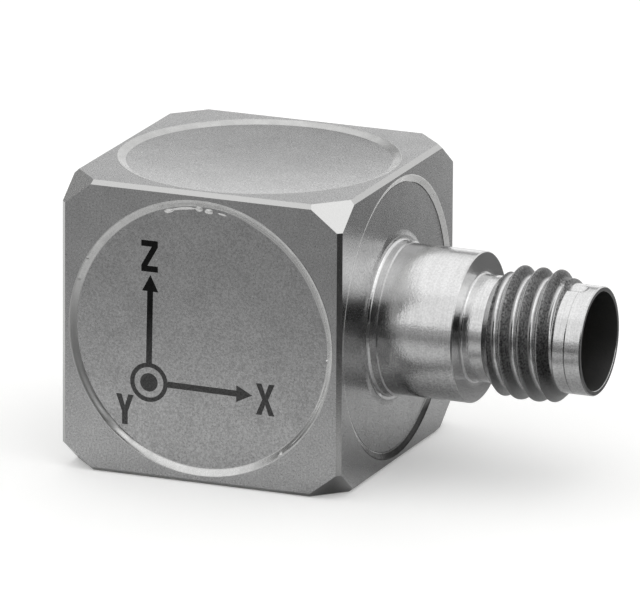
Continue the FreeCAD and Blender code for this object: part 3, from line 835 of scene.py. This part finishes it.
# Beads where the front seam was restarted, and one at the right
FRONT_BEADS = (
    (86.8, 6.1, 0.22, 0.13, 0.06),
    (91.4, 6.16, 0.2, 0.14, 0.06),
    (98.7, 6.17, 0.66, 0.07, 0.035),
    (105.6, 6.14, 0.26, 0.1, 0.05),
    (80.5, 6.1, 0.24, 0.05, 0.02),
    (356.5, 6.28, 0.06, 0.1, 0.05),
)

# Top seam: filled in front, with two fine lines
TOP_FILLS = ((198, 392, 0.8), (0, 360, 0.15))
TOP_BUMPS = (
    (224, 6.47, 2.3, 0.06, -0.06),
    (358, 6.47, 2.3, 0.06, -0.06),
)

# Side seam: one blob above the receptacle
SIDE_MELTED = ((62, 86, 0.1),)
SIDE_BUMPS = ((76, 6.27, 0.3, 0.06, 0.03),)

weld_seam("front_weld", FRONT, FRONT_WELD, 0.03, 0.01, FRONT_MELTED, FRONT_FILLS, FRONT_BUMPS)
weld_beads("front_beads", FRONT, FRONT_BEADS)
weld_seam("top_weld", TOP, TOP_WELD, 0.03, 0.004, fills=TOP_FILLS, bumps=TOP_BUMPS)
foot_fillet()
weld_seam("side_weld", SIDE, SIDE_WELD, -0.05, 0.004, melted=SIDE_MELTED, bumps=SIDE_BUMPS)


# Dished cover of the top face

DISH_DEPTH = 0.2
DISH_COLUMNS = 180
DISH_RINGS = 60
DISH_LAST_RADIUS = 0.2


def dished_cover():
    """Top cover, pressed in a little towards its middle."""
    turn = np.arange(DISH_COLUMNS) / DISH_COLUMNS * 2 * math.pi
    thickness = TOP_COVER_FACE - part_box("top_cover")[0].z / MM
    vertices = [TOP.point(TOP_COVER_RADIUS, t, -TOP.sink - thickness) for t in turn]
    for radius in np.linspace(TOP_COVER_RADIUS, DISH_LAST_RADIUS, DISH_RINGS):
        sunk = DISH_DEPTH * (1 - (radius / TOP_COVER_RADIUS) ** 2)
        vertices += [TOP.point(radius, t, -TOP.sink - sunk) for t in turn]
    faces = ring_faces(DISH_RINGS + 1, DISH_COLUMNS)
    faces.append(tuple(DISH_RINGS * DISH_COLUMNS + column for column in range(DISH_COLUMNS)))
    faces.append(tuple(reversed(range(DISH_COLUMNS))))
    cover = piece("top_cover_dished", vertices, faces, MATERIALS["titanium_cover"])
    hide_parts("top_cover")


dished_cover()


# Thread of the mounting hole

HOLE_RADIUS = 1.25
HOLE_LINER = 0.004
HOLE_THREAD = (0.35, 3.1)
HOLE_THREAD_ENDS = 0.2
HOLE_PITCH = 0.5
HOLE_RIDGE = 0.07
HOLE_COLUMNS = 72
HOLE_ROWS = 0.03


def mounting_thread():
    """Helical ridge on a thin liner of the tapped hole, fading out at both ends."""
    turn = np.arange(HOLE_COLUMNS) / HOLE_COLUMNS * 2 * math.pi
    low, high = HOLE_THREAD
    heights = np.arange(low, high, HOLE_ROWS)
    vertices = []
    for height in heights:
        phase = (height / HOLE_PITCH - turn / (2 * math.pi)) % 1
        ridge = HOLE_RIDGE * np.clip(1.6 - 3.2 * np.abs(phase - 0.5), 0, 1)
        fade = min(1, (height - low) / HOLE_THREAD_ENDS, (high - height) / HOLE_THREAD_ENDS)
        radius = HOLE_RADIUS - HOLE_LINER - ridge * fade
        vertices += [(r * math.cos(t), r * math.sin(t), height) for r, t in zip(radius, turn)]
    faces = turned_over(ring_faces(len(heights), HOLE_COLUMNS))
    piece("mounting_thread", vertices, faces, MATERIALS["titanium_turned"])


mounting_thread()


# Axis mark on the front cover: a circle with a dot, two arrows and three letters

MARK_LIFT = 0.006
CIRCLE_POINTS = 64
CIRCLE = (-2.65, 4.555)
CIRCLE_OUTER = 0.94
CIRCLE_INNER = 0.73
DOT_RADIUS = 0.44
ARROW_SHAFT = 0.29
ARROW_HEAD = (0.79, 0.81)
UP_ARROW_TIP = (-2.58, 9.73)
SIDE_ARROW_TIP = (2.53, 4.52)

# Letters: middle, size, and outline in shares of that size
LETTERS = {
    "letter_z": ((-2.625, 10.625), (0.83, 1.5), [
        (0, 1), (1, 1), (1, 0.8), (0.37, 0.19), (1, 0.19), (1, 0),
        (0, 0), (0, 0.2), (0.63, 0.81), (0, 0.81),
    ]),
    "letter_x": ((3.185, 4.395), (0.92, 1.5), [
        (0, 1), (0.3, 1), (0.5, 0.66), (0.7, 1), (1, 1), (0.66, 0.5),
        (1, 0), (0.7, 0), (0.5, 0.34), (0.3, 0), (0, 0), (0.34, 0.5),
    ]),
    "letter_y": ((-3.86, 3.125), (0.88, 1.45), [
        (0, 1), (0.31, 1), (0.5, 0.62), (0.69, 1), (1, 1), (0.66, 0.42), (0.66, 0), (0.34, 0), (0.34, 0.42),
    ]),
}


def flat_mark(name, outlines):
    """Mark on the front cover from closed outlines of (x, z) points."""
    vertices, faces = [], []
    for outline in outlines:
        first = len(vertices)
        vertices += [(x, FRONT_COVER_FACE - MARK_LIFT, z) for x, z in outline]
        faces.append(tuple(range(first, first + len(outline))))
    piece(name, vertices, faces, MARK)


def disc_outline(middle, radius):
    turns = [2 * math.pi * number / CIRCLE_POINTS for number in range(CIRCLE_POINTS)]
    return [(middle[0] + radius * math.cos(turn), middle[1] + radius * math.sin(turn)) for turn in turns]


def ring_outlines(middle, inner, outer):
    small, large = disc_outline(middle, inner), disc_outline(middle, outer)
    return [(small[i - 1], large[i - 1], large[i], small[i]) for i in range(CIRCLE_POINTS)]


def arrow_outline(start, tip):
    """Arrow from start to tip as one outline."""
    start, tip = Vector(start), Vector(tip)
    along = (tip - start).normalized()
    side = Vector((-along.y, along.x))
    neck = tip - along * ARROW_HEAD[0]
    thin, wide = side * (ARROW_SHAFT / 2), side * (ARROW_HEAD[1] / 2)
    corners = [start + thin, start - thin, neck - thin, neck - wide, tip, neck + wide, neck + thin]
    return [tuple(corner) for corner in corners]


def letter_outline(middle, size, shares):
    return [(middle[0] + (a - 0.5) * size[0], middle[1] + (b - 0.5) * size[1]) for a, b in shares]


flat_mark("axis_circle", ring_outlines(CIRCLE, CIRCLE_INNER, CIRCLE_OUTER))
flat_mark("axis_dot", [disc_outline(CIRCLE, DOT_RADIUS)])
flat_mark("axis_arrow_up", [arrow_outline((CIRCLE[0], CIRCLE[1] + CIRCLE_OUTER), UP_ARROW_TIP)])
flat_mark("axis_arrow_side", [arrow_outline((CIRCLE[0] + CIRCLE_OUTER, CIRCLE[1]), SIDE_ARROW_TIP)])
for name, (middle, size, shares) in LETTERS.items():
    flat_mark(name, [letter_outline(middle, size, shares)])


# Stage

# Side of the floor in metres, its grey, and the glow that only the camera sees
FLOOR_SIZE = 4.0
FLOOR_GREY = 0.93
FLOOR_LIFT = 0.2

# Half side and corner cut of the face that the object stands on
UNDERSIDE_HALF = 6.78
UNDERSIDE_CUT = 1.78

# Strength of the surroundings as diffuse light
WORLD_LIGHT = 0.85

# Lamps: name, direction from the object, distance and side in metres, radiance
LAMPS = (
    ("overhead", (-0.1, 0.05, 1.0), 0.8, 1.2, 0.17),
    ("key", (0.539, -0.17, 0.819), 0.6, 0.5, 0.36),
    ("rim", (-0.372, 0.921, 0.113), 0.6, 0.13, 0.2),
)


def stage_mesh(name, vertices, faces, material):
    mesh = bpy.data.meshes.new(name)
    mesh.from_pydata(vertices, [], faces)
    thing = bpy.data.objects.new(name, mesh)
    bpy.context.scene.collection.objects.link(thing)
    thing.data.materials.append(material)
    return thing


def floor_material():
    """White paper, seen from above only, that the camera sees as full white where no shadow falls."""
    n = Nodes("white_floor")
    n.finish(Base_Color=grey(FLOOR_GREY), Roughness=0.9)
    glow = n.add("ShaderNodeEmission")
    glow.inputs["Strength"].default_value = FLOOR_LIFT
    sum_up = n.add("ShaderNodeAddShader")
    n.link(n.shader.outputs[0], sum_up.inputs[0])
    n.link(glow.outputs[0], sum_up.inputs[1])
    seen = n.add("ShaderNodeMixShader")
    n.link(n.add("ShaderNodeLightPath").outputs["Is Camera Ray"], seen.inputs[0])
    n.link(n.shader.outputs[0], seen.inputs[1])
    n.link(sum_up.outputs[0], seen.inputs[2])
    clear = n.add("ShaderNodeBsdfTransparent")
    choose = n.add("ShaderNodeMixShader")
    n.link(n.add("ShaderNodeNewGeometry").outputs["Backfacing"], choose.inputs[0])
    n.link(seen.outputs[0], choose.inputs[1])
    n.link(clear.outputs[0], choose.inputs[2])
    n.link(choose.outputs[0], n.tree.nodes["Material Output"].inputs["Surface"])
    return n.material


def floor():
    """Floor with an opening under the face that the object stands on, so that a view from below shows it."""
    vertices = []
    for half in (UNDERSIDE_HALF * MM, FLOOR_SIZE / 2):
        short = half * (1 - UNDERSIDE_CUT / UNDERSIDE_HALF)
        vertices += [
            (half, -short, 0), (half, short, 0), (short, half, 0), (-short, half, 0),
            (-half, short, 0), (-half, -short, 0), (-short, -half, 0), (short, -half, 0),
        ]
    stage_mesh("floor", vertices, turned_over(ring_faces(2, 8)), floor_material())


# Greys of the table card by azimuth in degrees: close to the object, and far from it
TABLE_NEAR = (
    (-180, 0.82), (-62, 0.74), (-44, 0.3), (-32, 0.8), (-10, 0.55),
    (20, 0.68), (60, 0.68), (75, 0.9), (180, 0.9),
)
TABLE_FAR = (
    (-180, 0.95), (-160, 0.9), (-140, 0.45), (-100, 0.33), (-84, 0.05),
    (-5, 0.05), (20, 0.12), (58, 0.16), (70, 0.9), (180, 0.95),
)

# Card's radius and height, and the radii between which near turns into far, to the left and to the
# right, in metres, with the azimuths between which the left ones turn into the right ones
TABLE_RADIUS = 0.6
TABLE_LIFT = 0.00005
TABLE_FADE = (0.011, 0.042)
TABLE_FADE_RIGHT = (0.014, 0.024)
TABLE_FADE_CHANGE = (-60, 0)
TABLE_POINTS = 72

# Dark areas that only reflections show: first and last azimuth, lowest and highest elevation and softness
# in degrees, light left
DARK_AREAS = (
    (-150, -90, -5, 7, 5, 0.35),
    (-94, -30, -5, 36, 7, 0.0),
    (-34, 78, -5, 12, 5, 0.05),
    (110, 188, 16, 26, 4, 0.12),
    (-188, -148, 3, 30, 7, 0.15),
)


def ramp(n, share, stops):
    """Colour ramp in greys from (azimuth, grey) stops, read by a share from 0 to 1."""
    node = n.add("ShaderNodeValToRGB")
    n.link(share, node.inputs[0])
    elements = node.color_ramp.elements
    while len(elements) < len(stops):
        elements.new(0.5)
    for element, (azimuth, level) in zip(elements, stops):
        element.position = (azimuth + 180) / 360
        element.color = (level, level, level, 1)
    return node.outputs["Color"]


def table_card():
    """Shaded card just above the floor, which the metal reflects. The camera doesn't see it."""
    n = Nodes("table_card")
    place = n.coordinates()
    x, y, _ = n.split(place)
    turn = n.math("ARCTAN2", y, x)
    share = n.ranged(turn, -math.pi, math.pi, 0.0, 1.0)
    fade_from, fade_to = (math.radians(azimuth) for azimuth in TABLE_FADE_CHANGE)
    fade_start, fade_end = (
        n.ranged(turn, fade_from, fade_to, left, right) for left, right in zip(TABLE_FADE, TABLE_FADE_RIGHT)
    )
    away = n.ranged(n.vector_math("LENGTH", place), fade_start, fade_end, 0.0, 1.0, smooth=True)
    shade = n.mixed(away, ramp(n, share, TABLE_NEAR), ramp(n, share, TABLE_FAR))
    material = n.finish(Base_Color=shade, Roughness=0.9, Specular_IOR_Level=0.0)
    turns = [2 * math.pi * number / TABLE_POINTS for number in range(TABLE_POINTS)]
    vertices = [(TABLE_RADIUS * math.cos(t), TABLE_RADIUS * math.sin(t), TABLE_LIFT) for t in turns]
    made = stage_mesh("table_card", vertices, [tuple(range(TABLE_POINTS))], material)
    made.visible_camera = False
    made.visible_diffuse = False
    made.visible_shadow = False
    made.visible_transmission = False


def band(n, value, low, high, soft):
    """Mask of a range of the value with soft ends."""
    half = (high - low) / 2
    beyond = n.math("ABSOLUTE", n.math("SUBTRACT", value, (low + high) / 2))
    return n.ranged(beyond, half - soft, half + soft, 1.0, 0.0, smooth=True)


def world():
    """White surroundings, with soft dark areas for the metal to reflect."""
    made = bpy.data.worlds.new("studio")
    bpy.context.scene.world = made
    made.use_nodes = True
    n = Nodes.of_tree(made.node_tree)
    background = made.node_tree.nodes["Background"]
    background.inputs["Color"].default_value = (1, 1, 1, 1)
    x, y, z = n.split(n.coordinates("Generated"))
    azimuth = n.math("DEGREES", n.math("ARCTAN2", y, x))
    elevation = n.math("DEGREES", n.math("ARCSINE", z))
    light = 1.0
    for first, last, low, high, soft, left in DARK_AREAS:
        dark = n.math("MULTIPLY", band(n, azimuth, first, last, soft), band(n, elevation, low, high, soft))
        dark = n.math("MULTIPLY", dark, 1 - left)
        light = n.math("MULTIPLY", light, n.math("SUBTRACT", 1.0, dark))
    rays = n.add("ShaderNodeLightPath").outputs
    reflected = n.math("MULTIPLY", rays["Is Glossy Ray"], light)
    seen = n.math("MAXIMUM", rays["Is Camera Ray"], rays["Is Transmission Ray"])
    other = n.math("SUBTRACT", 1.0, n.math("MAXIMUM", rays["Is Glossy Ray"], seen))
    strength = n.math("ADD", n.math("ADD", reflected, seen), n.math("MULTIPLY", other, WORLD_LIGHT))
    n.link(strength, background.inputs["Strength"])


def softbox(name, towards, distance, size, radiance):
    """Square lamp in a direction from the object, facing it."""
    data = bpy.data.lights.new(name, "AREA")
    data.shape = "SQUARE"
    data.size = size
    data.energy = radiance * math.pi * size * size
    lamp = bpy.data.objects.new(name, data)
    bpy.context.scene.collection.objects.link(lamp)
    direction = Vector(towards).normalized()
    lamp.location = CUBE_MIDDLE * MM + direction * distance
    lamp.rotation_mode = "QUATERNION"
    lamp.rotation_quaternion = direction.to_track_quat("Z", "Y")


# Camera, at the photograph's viewing angle: degrees, millimetres

CAMERA_AZIMUTH = 22.363
CAMERA_ELEVATION = 15.974
CAMERA_ROLL = 0.32
CAMERA_DISTANCE = 555.0
CAMERA_AIM = (2.71, 0.94, 6.86)
CAMERA_LENS = 669.1


def camera():
    data = bpy.data.cameras.new("camera")
    data.lens = CAMERA_LENS
    data.sensor_width = 36
    data.clip_start = 0.05
    data.clip_end = 10
    eye = bpy.data.objects.new("camera", data)
    bpy.context.scene.collection.objects.link(eye)
    azimuth, elevation = math.radians(CAMERA_AZIMUTH), math.radians(CAMERA_ELEVATION)
    back = Vector((
        math.sin(azimuth) * math.cos(elevation),
        -math.cos(azimuth) * math.cos(elevation),
        math.sin(elevation),
    ))
    eye.location = (Vector(CAMERA_AIM) + back * CAMERA_DISTANCE) * MM
    eye.rotation_mode = "QUATERNION"
    upright = back.to_track_quat("Z", "Y")
    roll = Matrix.Rotation(math.radians(CAMERA_ROLL), 3, "Z").to_quaternion()
    eye.rotation_quaternion = upright @ roll
    bpy.context.scene.camera = eye


floor()
table_card()
world()
for lamp in LAMPS:
    softbox(*lamp)
camera()
bpy.context.scene.view_settings.view_transform = "Standard"
